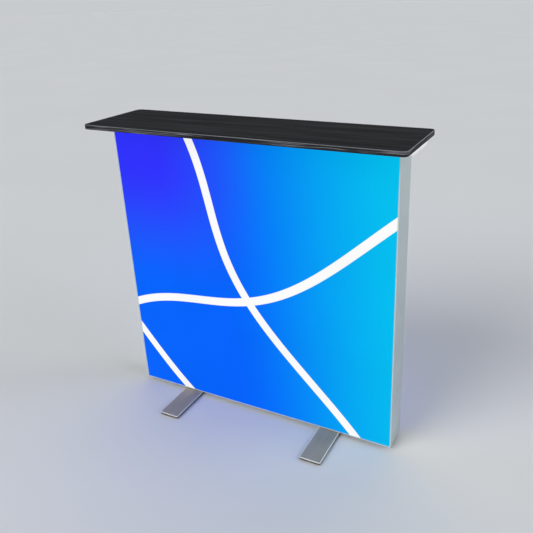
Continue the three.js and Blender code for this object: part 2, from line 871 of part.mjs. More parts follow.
function makeSupply() {
  const driver = part("led_driver", ledDriver(), silver);
  driver.position.set(driverCentreX, 0, trackFloorZ);
  const leftClip = part("lead_clip_left", leadClip(mainsLeadRadius, ledLeadOffset), whitePlastic);
  leftClip.position.set(leftClipX, 0, trackFloorZ);
  const rightClip = part("lead_clip_right", leadClip(ledLeadRadius, 0), whitePlastic);
  rightClip.position.set(rightClipX, 0, trackFloorZ);
  const mains = part("mains_lead", mainsLead(), blackPlastic);
  const left = part("led_lead_left", leftLedLead(), whitePlastic);
  const right = part("led_lead_right", rightLedLead(), whitePlastic);
  return group(driver, leftClip, rightClip, mains, left, right);
}

function makeCarriers() {
  return [-1, 1].map((side) => {
    const name = side < 0 ? "left" : "right";
    const fitted = group(part(`carrier_${name}`, carrier(), whitePlastic));
    boardBoltXs.forEach((x, k) => {
      const place = k === 0 ? "outer" : "inner";
      const bolt = part(`board_bolt_${name}_${place}`, boardBolt(), steel);
      bolt.position.x = x;
      const insert = part(`board_insert_${name}_${place}`, boardInsert(), brass);
      insert.position.set(x, 0, carrierPlate);
      fitted.add(bolt, insert);
    });
    fitted.rotation.z = side < 0 ? Math.PI : 0;
    fitted.position.z = frameTopZ;
    return fitted;
  });
}

function makeTop() {
  const top = group(
    part("countertop_board", topBoard(), boardCore),
    part("countertop_laminate", topLaminate(), charcoalLaminate),
    part("countertop_edge_band", topEdgeBand(), charcoalLaminate),
  );
  top.position.z = topUndersideZ;
  return top;
}

function makeFeet() {
  return [-1, 1].map((side) => {
    const name = side < 0 ? "left" : "right";
    const plate = part(`foot_${name}`, foot(), steel);
    const bolt = part(`foot_bolt_${name}`, pivotBolt(), steel);
    const washer = part(`foot_washer_${name}`, thrustWasher(), whitePlastic);
    washer.position.z = footThickness + clearance;
    const clamp = part(`foot_clamp_plate_${name}`, clampPlate(), steel);
    clamp.position.z = frameBottomZ - footPadHeight + sectionWall + clearance;
    const standing = group(plate, bolt, washer, clamp);
    for (const end of [-1, 1]) {
      const pad = part(`foot_pad_${name}_${end < 0 ? "front" : "rear"}`, footPad(), blackRubber);
      const place = footLength / 2 - footPadSetback - footPadLength / 2;
      pad.position.set(0, end * place, -footPadHeight);
      standing.add(pad);
    }
    standing.position.set((side * footSpacing) / 2, 0, footPadHeight);
    return standing;
  });
}

export default group(
  makeFrame(),
  ...makeCornerAngles(),
  makeFabrics(),
  ...makeLighting(),
  makeInlet(),
  makeSupply(),
  ...makeCarriers(),
  makeTop(),
  ...makeFeet(),
);
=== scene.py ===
# Exhibition counter: a double-sided fabric light box with a laminated top, on two flat feet that swivel.
# Metres, +Z up, the front print faces -Y, the origin on the floor under the middle of the frame.

import math

import bmesh
import bpy
from mathutils import Matrix, Vector


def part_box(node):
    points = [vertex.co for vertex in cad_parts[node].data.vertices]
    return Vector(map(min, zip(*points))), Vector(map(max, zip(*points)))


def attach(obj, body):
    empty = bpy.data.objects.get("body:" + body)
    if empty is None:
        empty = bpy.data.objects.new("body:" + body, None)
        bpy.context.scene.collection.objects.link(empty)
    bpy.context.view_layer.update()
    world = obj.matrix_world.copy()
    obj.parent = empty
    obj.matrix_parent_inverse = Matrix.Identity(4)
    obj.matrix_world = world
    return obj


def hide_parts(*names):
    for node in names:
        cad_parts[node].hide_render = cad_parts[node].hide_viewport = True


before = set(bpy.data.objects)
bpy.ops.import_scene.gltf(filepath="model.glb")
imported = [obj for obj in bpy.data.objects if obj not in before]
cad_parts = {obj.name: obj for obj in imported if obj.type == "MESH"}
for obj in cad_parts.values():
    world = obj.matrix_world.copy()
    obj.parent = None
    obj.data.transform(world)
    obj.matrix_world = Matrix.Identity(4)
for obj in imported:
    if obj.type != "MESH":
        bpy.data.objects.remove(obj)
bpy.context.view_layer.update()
scene = bpy.context.scene

# Camera
# It stands before the right-hand end and looks down a little. Its place, turn and lens are worked out from
# the edges of the frame, the top and the feet in the square photograph, with the lens measured in pixels.
picture_width = 533
focal_length = 611.5
principal_x = 290.9
principal_y = 239.5
sensor_width = 36
camera_place = (0.963, -1.606, 1.419)
camera_turn = math.radians(27.34)
camera_dip = math.radians(22.29)
camera_roll = math.radians(-1.99)

camera_data = bpy.data.cameras.new("camera")
camera_data.sensor_width = sensor_width
camera_data.lens = focal_length / picture_width * sensor_width
camera_data.shift_x = 0.5 - principal_x / picture_width
camera_data.shift_y = principal_y / picture_width - 0.5
camera = bpy.data.objects.new("camera", camera_data)
turn = Matrix.Rotation(camera_turn, 4, "Z")
dip = Matrix.Rotation(math.pi / 2 - camera_dip, 4, "X")
roll = Matrix.Rotation(camera_roll, 4, "Z")
camera.matrix_world = Matrix.Translation(camera_place) @ turn @ dip @ roll
scene.collection.objects.link(camera)
scene.camera = camera
scene.view_settings.view_transform = "Standard"


# Studio
# A wide pale floor that runs to a pale horizon, under a sky that darkens upwards and three soft far lamps.
# Camera, glossy and see-through rays meet the paler sky, so metal shows the same studio as the picture.
class Socket:
    """An output of a node tree. Sums on it add Math nodes, and node() adds any other node."""

    def __init__(self, tree, output=None):
        self.tree = tree
        self.output = output

    def node(self, kind, settings=None, inputs=None, result=0):
        """Adds a node: first its settings, then a value or a link for each of the named inputs."""
        made = self.tree.nodes.new(kind)
        for name, value in (settings or {}).items():
            if name == "stops":
                while len(made.color_ramp.elements) < len(value):
                    made.color_ramp.elements.new(1.0)
                for element, (stop, colour) in zip(made.color_ramp.elements, value):
                    element.position = stop
                    element.color = colour
            else:
                setattr(made, name, value)
        for name, value in (inputs or {}).items():
            if isinstance(value, Socket):
                self.tree.links.new(value.output, made.inputs[name])
            else:
                made.inputs[name].default_value = value
        return Socket(self.tree, made.outputs[result])

    def beside(self, result):
        """Another output of the node that this one belongs to."""
        return Socket(self.tree, self.output.node.outputs[result])

    def sum(self, operation, *values):
        """Adds a Math node that works out the values in their order."""
        return self.node("ShaderNodeMath", {"operation": operation}, dict(enumerate(values)))

    def __add__(self, other):
        return self.sum("ADD", self, other)

    def __radd__(self, other):
        return self.sum("ADD", other, self)

    def __sub__(self, other):
        return self.sum("SUBTRACT", self, other)

    def __rsub__(self, other):
        return self.sum("SUBTRACT", other, self)

    def __mul__(self, other):
        return self.sum("MULTIPLY", self, other)

    def __rmul__(self, other):
        return self.sum("MULTIPLY", other, self)

    def __truediv__(self, other):
        return self.sum("DIVIDE", self, other)

    def __abs__(self):
        return self.sum("ABSOLUTE", self)

    def wave(self):
        return self.sum("SINE", self)

    def root(self):
        return self.sum("SQRT", self)

    def most(self, other):
        return self.sum("MAXIMUM", self, other)

    def part(self, axis):
        """The X, Y or Z of a place or a direction."""
        return self.node("ShaderNodeSeparateXYZ", inputs={0: self}, result=axis)

    def ramp(self, start, end, low=0.0, high=1.0):
        """Runs smoothly from low to high while the value goes from start to end."""
        inputs = {"Value": self, "From Min": start, "From Max": end, "To Min": low, "To Max": high}
        return self.node("ShaderNodeMapRange", {"interpolation_type": "SMOOTHSTEP"}, inputs)

    def spread(self, reach, low=0.0, high=1.0):
        """The same for a grain, which is mostly within such a reach of its middle value of a half."""
        return self.ramp(0.5 - reach, 0.5 + reach, low, high)


def tone(red, green, blue):
    """A colour written as it shows, each part from 0 to 255, in the linear values that shaders take."""
    shares = (part / 255 for part in (red, green, blue))
    linear = (s / 12.92 if s <= 0.04045 else ((s + 0.055) / 1.055) ** 2.4 for s in shares)
    return (*linear, 1.0)


def mix(factor, first, second):
    """Goes from the first colour to the second. The node's colours are its inputs 6 and 7 and output 2."""
    socket = next(s for s in (factor, first, second) if isinstance(s, Socket))
    return socket.node("ShaderNodeMix", {"data_type": "RGBA"}, {0: factor, 6: first, 7: second}, result=2)


horizon_colour = tone(200, 203, 206)
zenith_colour = tone(118, 121, 125)
horizon_rise = 0.1
zenith_rise = 0.4
sky_level = 0.85
floor_light = tone(216, 218, 220)
floor_dark = tone(211, 213, 215)
floor_dapples = 0.8
floor_radius = 60.0
floor_steps = 96

world = bpy.data.worlds.new("studio")
world.use_nodes = True
camera_ray = Socket(world.node_tree).node("ShaderNodeLightPath", result="Is Camera Ray")
glossy_ray = camera_ray.beside("Is Glossy Ray")
clear_ray = camera_ray.beside("Is Transmission Ray")
seen = camera_ray.most(glossy_ray).most(clear_ray)
sky_strength = sky_level + seen * (1 - sky_level)
sky_direction = camera_ray.node("ShaderNodeTexCoord", result="Generated")
sky_colour = mix(sky_direction.part("Z").ramp(horizon_rise, zenith_rise), horizon_colour, zenith_colour)
sky = world.node_tree.nodes["Background"]
world.node_tree.links.new(sky_colour.output, sky.inputs["Color"])
world.node_tree.links.new(sky_strength.output, sky.inputs["Strength"])
scene.world = world


def soft_lamp(name, direction, power, spread):
    """A lamp far away in the given direction, as wide as spread in degrees."""
    data = bpy.data.lights.new(name, "SUN")
    data.energy = power
    data.angle = math.radians(spread)
    lamp = bpy.data.objects.new(name, data)
    lamp.rotation_euler = Vector(direction).to_track_quat("Z", "Y").to_euler()
    scene.collection.objects.link(lamp)


soft_lamp("key_lamp", (-0.55, -0.95, 0.75), power=1.8, spread=40)
soft_lamp("fill_lamp", (0.9, 0.1, 0.45), power=1.5, spread=50)
soft_lamp("back_lamp", (-0.3, 0.9, 1.4), power=0.6, spread=50)


def placed(material, kind="Object"):
    """The place on the piece, in metres, as a socket, or another kind of coordinate."""
    return Socket(material.node_tree).node("ShaderNodeTexCoord", result=kind)


def finish(name, constants):
    """A material with these values on its shader, and the place on the piece as a socket."""
    material = bpy.data.materials.new(name)
    material.use_nodes = True
    shader = material.node_tree.nodes["Principled BSDF"]
    for key, value in constants.items():
        shader.inputs[key].default_value = value
    return material, placed(material)


def vary(material, varying):
    """Links inputs of the material's shader to what changes over the surface."""
    shader = material.node_tree.nodes["Principled BSDF"]
    for key, value in varying.items():
        material.node_tree.links.new(value.output, shader.inputs[key])
    return material


def noise(place, spots=1.0, stretch=(1, 1, 1), detail=3.0):
    """A grain from 0 to 1, with so many spots to the metre along each axis as spots times stretch says."""
    stretched = place.node("ShaderNodeVectorMath", {"operation": "MULTIPLY"}, {0: place, 1: stretch})
    inputs = {"Vector": stretched, "Scale": spots, "Detail": detail}
    return place.node("ShaderNodeTexNoise", inputs=inputs)


def link_mesh(name, made):
    """Turns what bmesh made into an object of the scene."""
    mesh = bpy.data.meshes.new(name)
    made.to_mesh(mesh)
    made.free()
    piece = bpy.data.objects.new(name, mesh)
    scene.collection.objects.link(piece)
    return piece


disc = bmesh.new()
bmesh.ops.create_circle(disc, cap_ends=True, radius=floor_radius, segments=floor_steps)
floor = link_mesh("floor", disc)
floor_paint, floor_place = finish("floor_paint", {"Roughness": 1.0, "Specular IOR Level": 0.0})
floor_shade = mix(noise(floor_place, floor_dapples, detail=1.0), floor_light, floor_dark)
floor.data.materials.append(vary(floor_paint, {"Base Color": floor_shade}))


# Frame profiles
# Aluminium sections extruded with two fabric grooves and a middle track, anodised a satin silver.
# They are mitred at the corners. Faint die lines run along each of them. Their front and back rims are
# painted lighter and made less metallic, a painted highlight that is paler on the top and bottom sections
# than on the uprights, and a narrower painted highlight runs along the outer walls beside the front and back
# arrises.
silver_light = tone(211, 222, 224)
silver_dark = tone(199, 211, 213)
upright_rim_highlight = tone(206, 219, 217)
level_rim_highlight = tone(226, 232, 233)
rim_metallic = 0.25
rim_facing_start = 0.5
rim_facing_end = 0.65
arris_painted_highlight = 0.5
arris_painted_highlight_width = 0.0035
upright_lines = (1400.0, 1400.0, 2.0)
level_lines = (2.0, 1400.0, 1400.0)
line_share = 0.6
line_gloss_share = 0.5
metal_clouds = 6.0
tone_contrast = 0.18
gloss_contrast = 0.2
gloss_change = 0.05


def dress(material, *names):
    """Gives carried-over pieces their material. Their shape and place stay."""
    for name in names:
        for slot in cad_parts[name].material_slots:
            slot.material = material


def bump(height, depth, strength=1.0):
    """A fine relief, where a height of 1 stands for the depth in metres."""
    return height.node("ShaderNodeBump", inputs={"Height": height, "Distance": depth, "Strength": strength})


def drawn_metal(name, light, dark, roughness, stretch, depth=0.00002, metallic=1.0):
    """Metal with fine lines along one axis, and clouds where its gloss changes a little."""
    material, place = finish(name, {"Metallic": metallic})
    lines = noise(place, stretch=stretch, detail=2.0)
    clouds = noise(place, metal_clouds, detail=2.0)
    lightness = lines * line_share + clouds * (1 - line_share)
    shine = lines * line_gloss_share + clouds * (1 - line_gloss_share)
    return vary(material, {
        "Base Color": mix(lightness.spread(tone_contrast), dark, light),
        "Roughness": shine.spread(gloss_contrast, roughness - gloss_change, roughness + gloss_change),
        "Normal": bump(lines, depth),
    })


def paint_over(material, mask, colour):
    """Puts a colour over the material's own where the mask is 1."""
    shader = material.node_tree.nodes["Principled BSDF"]
    under = Socket(material.node_tree, shader.inputs["Base Color"].links[0].from_socket)
    vary(material, {"Base Color": mix(mask, under, colour)})


upright_anodised = drawn_metal("anodised_upright", silver_light, silver_dark, 0.42, upright_lines, 0.000006)
level_anodised = drawn_metal("anodised_level", silver_light, silver_dark, 0.42, level_lines, 0.000006)
frame_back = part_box("profile_left")[1].y
# The rim faces are painted a paler silver here, a painted highlight, paler still on the top and bottom
# sections.
for anodised, rim_highlight in ((upright_anodised, upright_rim_highlight), (level_anodised, level_rim_highlight)):
    forwards = abs(placed(anodised, "Normal").part("Y")).ramp(rim_facing_start, rim_facing_end)
    # A narrow strip beside each front and back arris is painted paler as well: a painted highlight.
    near_arris = abs(placed(anodised).part("Y")).ramp(frame_back - arris_painted_highlight_width, frame_back)
    paint_over(anodised, forwards.most(near_arris * arris_painted_highlight), rim_highlight)
    vary(anodised, {"Metallic": 1 - forwards * (1 - rim_metallic)})
dress(upright_anodised, "profile_left", "profile_right")
dress(level_anodised, "profile_top", "profile_bottom")


# Corner angles
# Zinc-plated steel angles that fill the track across each mitre, with a grub screw in each leg.
# The screws jam them in the section, which pulls the mitre shut.
spangle = (90.0, 90.0, 90.0)
zinc = drawn_metal("zinc_plate", tone(176, 180, 186), tone(140, 145, 152), 0.38, spangle)
for corner in ("bottom_left", "top_left", "top_right", "bottom_right"):
    dress(zinc, f"corner_angle_{corner}")


# Lighting bars
# An aluminium rail snaps into the track of each upright and carries a row of moulded lenses.
# Each lens throws its light flat across the box, so both prints glow evenly.
white = tone(255, 255, 255)
lens_light = tone(248, 249, 250)
lens_dark = tone(236, 238, 240)
lens_glow = tone(235, 240, 255)

mill_aluminium = drawn_metal("mill_aluminium", tone(204, 207, 210), tone(186, 189, 193), 0.5, upright_lines)
lens, lens_place = finish("lens_acrylic", {"Roughness": 0.25, "Coat Weight": 0.3, "Emission Strength": 1.0})
lens_clouds = noise(lens_place, spots=60.0)
vary(lens, {
    "Base Color": mix(lens_clouds, lens_dark, lens_light),
    "Emission Color": mix(lens_clouds, lens_glow, white),
})
for side in ("left", "right"):
    dress(mill_aluminium, f"led_rail_{side}")
    dress(lens, f"led_strip_{side}")


# Power supply, leads and saddles
# A ribbed aluminium case screwed to the bottom section, with the mains lead in at one end
# and two thin leads out to the lighting bars, held down by small white saddles.
skin_share = 0.35
skin_contrast = 0.2
skin_gloss_change = 0.06
plastic_clouds = 14.0


def moulded_plastic(name, light, dark, roughness, pitch=0.0008, depth=0.00003):
    """Moulded or extruded plastic: a fine spark-eroded skin and slow clouds of tone."""
    material, place = finish(name, {"Specular IOR Level": 0.45})
    skin = noise(place, 1 / pitch, detail=2.0)
    clouds = noise(place, plastic_clouds, detail=2.0)
    lightness = (skin * skin_share + clouds * (1 - skin_share)).spread(skin_contrast)
    smooth = roughness - skin_gloss_change
    rough = roughness + skin_gloss_change
    return vary(material, {
        "Base Color": mix(lightness, dark, light),
        "Roughness": skin.spread(skin_contrast, smooth, rough),
        "Normal": bump(skin, depth),
    })


driver_case = drawn_metal("driver_case", tone(150, 154, 158), tone(128, 132, 136), 0.45, level_lines)
black_sheath = moulded_plastic("black_sheath", tone(34, 34, 36), tone(24, 24, 26), 0.5)
white_sheath = moulded_plastic("white_sheath", tone(228, 229, 230), tone(214, 215, 217), 0.5)
saddle_plastic = moulded_plastic("saddle_plastic", tone(236, 237, 237), tone(224, 225, 226), 0.45)
dress(driver_case, "led_driver")
dress(black_sheath, "mains_lead")
dress(white_sheath, "led_lead_left", "led_lead_right")
dress(saddle_plastic, "lead_clip_left", "lead_clip_right")


# Mains inlet
# A black snap-in moulding low on the left upright: a recessed three-pin socket with two corners cut off,
# and above it a rocker switch that tilts in its well. Sprung lugs hold it in the profile's wall.
flange_thickness = 0.0025
flange_radius = 0.003
flange_corner_steps = 8
flange_ease = 0.0007
flange_ease_steps = 4
inlet_body_width = 0.0274
inlet_body_height = 0.0474
lug_front = 0.0025
lug_back = 0.008
lug_height = 0.0164
lug_spread = 0.0015
lug_bite = 0.0001
socket_width = 0.024
socket_height = 0.0164
socket_cut = 0.005
socket_depth = 0.0165
socket_drop = 0.0126
pin_slots = ((-0.007, -0.002), (0.007, -0.002), (0.0, 0.002))
pin_slot_width = 0.0026
pin_slot_height = 0.0046
pivot_rise = 0.0126
pivot_depth = 0.0032
well_width = 0.0144
well_height = 0.0202
well_depth = 0.009
bearing_radius = 0.0018
bearing_reach = 0.0089
bearing_steps = 32
inlet_ease = 0.00025
merge_distance = 0.000002
crisp_angle = 30
overrun = 0.004
pin_lines = (1.5, 700.0, 700.0)

inlet_low, inlet_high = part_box("inlet_housing")
inlet_middle = (inlet_low.z + inlet_high.z) / 2
socket_middle = inlet_middle - socket_drop
rocker_pivot = Vector((inlet_low.x + pivot_depth, 0, inlet_middle + pivot_rise))


def rounded(low, high, radius, steps, inset=0.0):
    """The outline of a rectangle with round corners, anticlockwise from above, as pairs of x and y."""
    corners = ((high.x, high.y, 0), (low.x, high.y, 1), (low.x, low.y, 2), (high.x, low.y, 3))
    points = []
    for x, y, quarter in corners:
        centre_x = x - math.copysign(radius, x - (low.x + high.x) / 2)
        centre_y = y - math.copysign(radius, y - (low.y + high.y) / 2)
        for step in range(steps + 1):
            angle = math.pi / 2 * (quarter + step / steps)
            reach = radius - inset
            points.append((centre_x + reach * math.cos(angle), centre_y + reach * math.sin(angle)))
    return points


def ring(points, height):
    """An outline at one height."""
    return [(x, y, height) for x, y in points]


def across_x(points, x):
    """A ring in an upright plane, from points given as y and z."""
    return [(x, y, z) for y, z in points]


def box_points(width, height, middle):
    """The corners of an upright rectangle round y = 0, as y and z."""
    side = width / 2
    low = middle - height / 2
    high = middle + height / 2
    return [(-side, low), (side, low), (side, high), (-side, high)]


def eased(radius, steps):
    """The quarter round of an arris from the side to the top, as pairs of inset and drop below the top."""
    angles = [math.pi / 2 * step / steps for step in range(steps + 1)]
    return [(radius * (1 - math.cos(a)), radius * (1 - math.sin(a))) for a in angles]


def loft(name, rings, hollow=False, surfaces=()):
    """A closed mesh through rings of equally many points, with flat ends, or hollow like a hoop.

    Surfaces holds the material of the ends, and then one for each stretch from ring to ring."""
    finishes = list(dict.fromkeys(surfaces))
    made = bmesh.new()
    rows = [[made.verts.new(point) for point in points] for points in rings]
    pairs = list(zip(rows, rows[1:]))
    if hollow:
        pairs.append((rows[-1], rows[0]))
    else:
        made.faces.new(list(reversed(rows[0])))
        made.faces.new(rows[-1])
    for stretch, (low, high) in enumerate(pairs):
        for k in range(len(low)):
            face = made.faces.new((low[k - 1], low[k], high[k], high[k - 1]))
            if surfaces:
                face.material_index = finishes.index(surfaces[stretch + 1])
    piece = link_mesh(name, made)
    for surface in finishes:
        piece.data.materials.append(surface)
    return piece


def settle(piece):
    """Makes what the modifiers did part of the piece's own mesh, and merges points that fall together."""
    graph = bpy.context.evaluated_depsgraph_get()
    piece.data = bpy.data.meshes.new_from_object(piece.evaluated_get(graph))
    piece.modifiers.clear()
    merged = bmesh.new()
    merged.from_mesh(piece.data)
    bmesh.ops.remove_doubles(merged, verts=merged.verts, dist=merge_distance)
    merged.to_mesh(piece.data)
    merged.free()
    return piece


def combine(piece, others, operation):
    """Fuses the others with the piece or takes them out of it, and deletes them."""
    for other in others:
        modifier = piece.modifiers.new("combine", "BOOLEAN")
        modifier.operation = operation
        modifier.solver = "EXACT"
        modifier.object = other
    settle(piece)
    for other in others:
        bpy.data.objects.remove(other)
    return piece


def join_to(piece, *others):
    """Makes the others one body with the piece."""
    return combine(piece, others, "UNION")


def carve(piece, *tools):
    """Cuts the shape of each tool out of the piece."""
    return combine(piece, tools, "DIFFERENCE")


def circle(x, y, radius, steps):
    """The outline of a circle, anticlockwise from above."""
    angles = [2 * math.pi * k / steps for k in range(steps)]
    return [(x + radius * math.cos(a), y + radius * math.sin(a)) for a in angles]


def rod(name, x, y, low, high, radius, steps=48):
    """A round rod that stands between two heights."""
    points = circle(x, y, radius, steps)
    return loft(name, [ring(points, low), ring(points, high)])


def to_pivot(piece):
    """Turns a rod that stands at the origin to lie along the rocker's pivot."""
    piece.data.transform(Matrix.Translation(rocker_pivot) @ Matrix.Rotation(math.pi / 2, 4, "X"))
    return piece


def ease_arrises(piece, width, segments=2):
    """Rounds off each sharp arris."""
    modifier = piece.modifiers.new("ease", "BEVEL")
    modifier.width = width
    modifier.segments = segments
    modifier.limit_method = "ANGLE"
    modifier.angle_limit = math.radians(crisp_angle)
    return settle(piece)


def shade(piece, angle=crisp_angle):
    """Smooth shading over round stretches, and a crisp line at each sharper edge."""
    piece.data.shade_smooth()
    piece.data.set_sharp_from_angle(angle=math.radians(angle))
    return piece


inlet_back = inlet_high.x
flange_back = inlet_low.x + flange_thickness
flange_low = Vector((inlet_low.y, inlet_low.z))
flange_high = Vector((inlet_high.y, inlet_high.z))
flange_rings = []
for inset, drop in reversed(eased(flange_ease, flange_ease_steps)):
    flange = rounded(flange_low, flange_high, flange_radius, flange_corner_steps, inset)
    flange_rings.append(across_x(flange, inlet_low.x + drop))
flange = rounded(flange_low, flange_high, flange_radius, flange_corner_steps)
flange_rings.append(across_x(flange, flange_back))
housing = loft("inlet_moulding", flange_rings)
body_points = box_points(inlet_body_width, inlet_body_height, inlet_middle)
body_start = inlet_low.x + flange_thickness / 2
body = loft("body", [across_x(body_points, body_start), across_x(body_points, inlet_back)])
lug_wide = box_points(inlet_body_width + 2 * lug_spread, lug_height, inlet_middle)
lug_slim = box_points(inlet_body_width - 2 * lug_bite, lug_height, inlet_middle)
wall_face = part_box("profile_left")[0].x
lugs = loft("lugs", [across_x(lug_wide, wall_face + lug_front), across_x(lug_slim, wall_face + lug_back)])
join_to(housing, body, lugs)

cut_start = inlet_low.x - overrun
half_width = socket_width / 2
half_height = socket_height / 2
socket_outline = [
    (-half_width, -half_height),
    (half_width, -half_height),
    (half_width, half_height - socket_cut),
    (half_width - socket_cut, half_height),
    (socket_cut - half_width, half_height),
    (-half_width, half_height - socket_cut),
]
socket_points = [(y, socket_middle + up) for y, up in socket_outline]
socket_back = inlet_low.x + socket_depth
socket_tool = loft("tool", [across_x(socket_points, cut_start), across_x(socket_points, socket_back)])
well_points = box_points(well_width, well_height, rocker_pivot.z)
well_back = inlet_low.x + well_depth
well_tool = loft("tool", [across_x(well_points, cut_start), across_x(well_points, well_back)])
slot_tools = []
for slot_y, slot_up in pin_slots:
    slot_points = box_points(pin_slot_width, pin_slot_height, socket_middle + slot_up)
    slot_points = [(slot_y + y, z) for y, z in slot_points]
    slot_rings = [across_x(slot_points, wall_face), across_x(slot_points, inlet_back + overrun)]
    slot_tools.append(loft("tool", slot_rings))
bearing_tool = to_pivot(rod("tool", 0, 0, -bearing_reach, bearing_reach, bearing_radius, bearing_steps))
carve(housing, socket_tool, well_tool, bearing_tool, *slot_tools)
ease_arrises(housing, inlet_ease)
housing.data.materials.append(moulded_plastic("inlet_black", tone(30, 30, 32), tone(22, 22, 24), 0.42))
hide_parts("inlet_housing")
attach(shade(housing), "lightbox")

pin_brass = drawn_metal("nickel_brass", tone(214, 204, 170), tone(196, 184, 146), 0.28, pin_lines)
dress(pin_brass, "inlet_pin_left", "inlet_pin_right", "inlet_pin_earth")


# Rocker switch
# A black moulding with two flat paddles in a shallow V, on trunnions in the well of the inlet.
# At rest it is tilted so that its upper paddle lies flush, and a bar and a ring mark its two halves.
rocker_reach = 0.0095
rocker_crown = 0.0022
rocker_keel = 0.0032
rocker_width = 0.0138
rocker_tilt = math.radians(8)
rocker_ease = 0.0005
rocker_ease_steps = 3
rocker_end_steps = 8
trunnion_radius = 0.0015
trunnion_reach = 0.0086
trunnion_steps = 24
mark_place = 0.0055
mark_stroke = 0.0006
mark_edge = 0.00005
mark_ring_radius = 0.0017
mark_bar_length = 0.004
mark_tone = tone(226, 226, 224)

end_low = -rocker_keel / 2
end_high = rocker_crown + rocker_reach * math.tan(rocker_tilt)
end_arc = []
for step in range(rocker_end_steps + 1):
    out = end_low + (end_high - end_low) * step / rocker_end_steps
    end_arc.append((math.sqrt(rocker_reach**2 - out**2), out))
half_paddles = [(0, -rocker_keel), *end_arc, (0, rocker_crown)]
paddles = half_paddles + [(-along, out) for along, out in reversed(end_arc)]


def on_rocker(along, y, out):
    """A point of the rocker, given along its paddles and outwards, in the place where it rests."""
    upwards = along * math.cos(rocker_tilt) + out * math.sin(rocker_tilt)
    outwards = out * math.cos(rocker_tilt) - along * math.sin(rocker_tilt)
    return (rocker_pivot.x - outwards, y, rocker_pivot.z + upwards)


def within(distance, limit):
    """1 where the distance is below the limit and 0 past it, with the soft edge of a printed mark."""
    return distance.ramp(limit - mark_edge, limit + mark_edge, 1, 0)


rocker_rings = []
for rocker_side in (-rocker_width / 2, rocker_width / 2):
    rocker_rings.append([on_rocker(along, rocker_side, out) for along, out in paddles])
rocker = loft("rocker_moulding", rocker_rings)
ease_arrises(rocker, rocker_ease, rocker_ease_steps)
trunnion = rod("trunnion", 0, 0, -trunnion_reach, trunnion_reach, trunnion_radius, trunnion_steps)
join_to(rocker, to_pivot(trunnion))
rocker_black = moulded_plastic("rocker_black", tone(26, 26, 28), tone(20, 20, 22), 0.3)
mark_y = placed(rocker_black).part("Y")
mark_z = mark_y.beside("Z") - rocker_pivot.z
bar = within(abs(mark_y), mark_stroke / 2) * within(abs(mark_z - mark_place), mark_bar_length / 2)
below = mark_z + mark_place
from_ring = abs((mark_y * mark_y + below * below).root() - mark_ring_radius)
paint_over(rocker_black, within(from_ring, mark_stroke / 2).most(bar), mark_tone)
rocker.data.materials.append(rocker_black)
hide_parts("inlet_rocker")
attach(shade(rocker), "rocker")


# Feet
# Flat steel bars 8 mm thick, brushed along their length, with a chamfer round the upper edge. The chamfer
# and a thin band inside it are painted pale as a painted highlight, and the sides are painted darker as
# painted shade.
# A countersunk hole from below takes the bolt that each foot swivels on.
foot_radius = 0.005
foot_chamfer = 0.0015
foot_highlight_band = 0.0012
foot_ease = 0.0002
foot_corner_steps = 8
pivot_hole_radius = 0.0043
pivot_mouth_radius = 0.0083
pivot_mouth_depth = 0.0003
pivot_cone_depth = 0.0043
pivot_steps = 48
brushed_light = tone(166, 159, 143)
brushed_dark = tone(145, 138, 124)
edge_highlight_light = tone(230, 227, 220)
edge_highlight_dark = tone(220, 217, 210)
side_shade_light = tone(104, 99, 93)
side_shade_dark = tone(84, 80, 75)
along_foot = (900.0, 6.0, 900.0)

brushed_steel = drawn_metal("brushed_steel", brushed_light, brushed_dark, 0.5, along_foot, metallic=0.2)
# The chamfer and the band inside it are painted pale: a painted highlight.
painted_highlight_edge = drawn_metal("painted_highlight_edge", edge_highlight_light, edge_highlight_dark, 0.5, along_foot, metallic=0.1)
# The sides are painted darker: painted shade.
painted_shade_sides = drawn_metal("painted_shade_sides", side_shade_light, side_shade_dark, 0.55, along_foot, metallic=0.1)
foot_surfaces = [brushed_steel, painted_shade_sides, painted_shade_sides, painted_highlight_edge, painted_highlight_edge]

for side in ("left", "right"):
    low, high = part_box(f"foot_{side}")
    middle = (low + high) / 2
    thickness = high.z - low.z
    foot_layers = [
        (foot_ease, 0.0),
        (0.0, foot_ease),
        (0.0, thickness - foot_chamfer),
        (foot_chamfer, thickness),
        (foot_chamfer + foot_highlight_band, thickness),
    ]
    pivot_layers = [
        (pivot_mouth_radius, -overrun),
        (pivot_mouth_radius, pivot_mouth_depth),
        (pivot_hole_radius, pivot_cone_depth),
        (pivot_hole_radius, thickness + overrun),
    ]
    foot_rings = []
    for inset, height in foot_layers:
        foot_outline = rounded(low, high, foot_radius, foot_corner_steps, inset)
        foot_rings.append(ring(foot_outline, low.z + height))
    pivot_rings = []
    for radius, height in pivot_layers:
        pivot_rings.append(ring(circle(middle.x, middle.y, radius, pivot_steps), low.z + height))
    foot = loft(f"foot_bar_{side}", foot_rings, surfaces=foot_surfaces)
    carve(foot, loft("tool", pivot_rings))
    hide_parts(f"foot_{side}")
    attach(shade(foot), f"foot_{side}")


# Pads, pivot bolts, washers and clamp plates
# Rubber pads are glued under the ends of each foot. A countersunk bolt goes up through the foot and
# a nylon washer into a steel plate that is trapped in the track of the bottom profile.
pad_pitch = 0.0012
pad_relief = 0.00008
pad_rubber = moulded_plastic("pad_rubber", tone(34, 34, 35), tone(24, 24, 25), 0.8, pad_pitch, pad_relief)
washer_nylon = moulded_plastic("washer_nylon", tone(226, 226, 220), tone(214, 214, 208), 0.45)
for side in ("left", "right"):
    dress(pad_rubber, f"foot_pad_{side}_front", f"foot_pad_{side}_rear")
    dress(washer_nylon, f"foot_washer_{side}")
    dress(zinc, f"foot_bolt_{side}", f"foot_clamp_plate_{side}")


